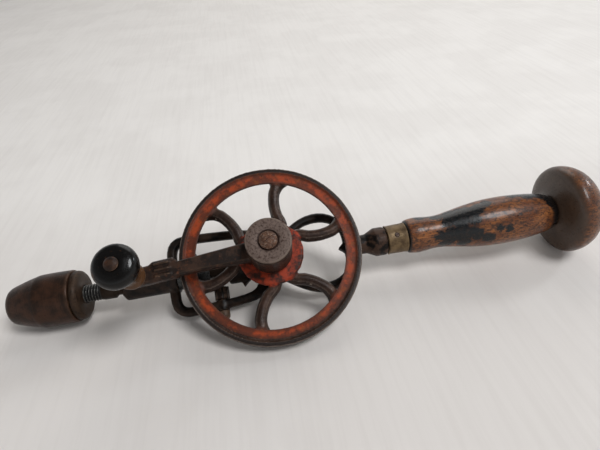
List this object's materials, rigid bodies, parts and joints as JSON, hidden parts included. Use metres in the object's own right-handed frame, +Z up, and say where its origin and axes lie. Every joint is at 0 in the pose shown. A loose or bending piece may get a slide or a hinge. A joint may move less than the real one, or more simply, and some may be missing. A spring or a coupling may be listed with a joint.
{
  "type": "hand drill",
  "caption": "Hand-cranked drill with a spoked bevel gear wheel, a looped cast frame, a three-jaw chuck, and a turned handle with a mushroom head.",
  "frame": {"origin": "middle of the bounding box on the floor, where the tool lies on its chuck, the rim of its gear wheel and the head of its handle", "axes": "+X along the tool's length towards the handle, +Z up, gear wheel leaning towards -Y"},
  "size_m": [0.3526, 0.0874, 0.0703],
  "materials": {
    "black_iron": "black, satin, worn",
    "dark_steel": "dark patinated steel",
    "brown_steel": "brown patinated steel",
    "grey_steel": "grey worn steel",
    "brown_iron": "brown, slightly rusted",
    "red_paint": "orange red, worn and grimy",
    "black_wood": "black gloss",
    "worn_wood": "black stain worn to brown wood, glossy",
    "head_wood": "dark stain, worn at the crown",
    "aged_brass": "aged, olive brown"
  },
  "bodies": {
    "frame": {"frame": "black_iron", "ferrule": "aged_brass", "ferrule_pin": "grey_steel", "handle_grip": "worn_wood", "handle_head": "head_wood", "side_stud": "dark_steel", "stud_nut": "dark_steel"},
    "wheel": {"gear_wheel": "red_paint", "axle": "grey_steel", "axle_nut": "grey_steel", "axle_washer": "grey_steel", "crank_arm": "brown_iron", "crank_cap": "grey_steel", "crank_screw": "grey_steel", "knob_rivet": "brown_iron", "knob_washer": "brown_iron"},
    "knob": {"knob": "black_wood"},
    "spindle": {"spindle": "dark_steel", "pinion": "dark_steel", "pinion_pin": "dark_steel", "thrust_washer": "dark_steel"},
    "chuck_slide": {"jaw_follower": "dark_steel"},
    "chuck_shell": {"chuck_shell": "brown_steel", "chuck_ring": "brown_steel"},
    "jaw_1": {"jaw_1": "dark_steel"},
    "jaw_2": {"jaw_2": "dark_steel"},
    "jaw_3": {"jaw_3": "dark_steel"}
  },
  "joints": [
    {"name": "wheel_turn", "type": "hinge", "parent": "frame", "child": "wheel", "pos_m": [-0.0257, 0.00898, 0.02024], "axis": [-0.0291, -0.5809, 0.8134], "continuous": true},
    {"name": "knob_turn", "type": "hinge", "parent": "wheel", "child": "knob", "pos_m": [-0.09837, -0.02041, 0.05197], "axis": [-0.0291, -0.5809, 0.8134], "continuous": true},
    {"name": "spindle_turn", "type": "hinge", "parent": "frame", "child": "spindle", "pos_m": [-0.10065, 0.00898, 0.01756], "axis": [0.9994, 0, 0.0357], "continuous": true},
    {"name": "chuck_screw", "type": "slide", "parent": "spindle", "child": "chuck_slide", "axis": [0.9994, 0, 0.0357], "range_m": [0, 0.0046]},
    {"name": "shell_turn", "type": "hinge", "parent": "chuck_slide", "child": "chuck_shell", "pos_m": [-0.15562, 0.00898, 0.01559], "axis": [0.9994, 0, 0.0357], "range_deg": [0, 1035]},
    {"name": "jaw_1_slide", "type": "slide", "parent": "spindle", "child": "jaw_1", "axis": [0.0291, 0.5809, -0.8134], "range_m": [0, 0.00206]},
    {"name": "jaw_2_slide", "type": "slide", "parent": "spindle", "child": "jaw_2", "axis": [0.0034, -0.9954, -0.096], "range_m": [0, 0.00206]},
    {"name": "jaw_3_slide", "type": "slide", "parent": "spindle", "child": "jaw_3", "axis": [-0.0325, 0.4145, 0.9095], "range_m": [0, 0.00206]}
  ],
  "couplings": [
    {"joint": "spindle_turn", "follows": "wheel_turn", "ratio": 4},
    {"joint": "shell_turn", "follows": "chuck_screw", "rad_per_m": 3927},
    {"joint": "jaw_1_slide", "follows": "chuck_screw", "ratio": 0.44523},
    {"joint": "jaw_2_slide", "follows": "chuck_screw", "ratio": 0.44523},
    {"joint": "jaw_3_slide", "follows": "chuck_screw", "ratio": 0.44523}
  ]
}
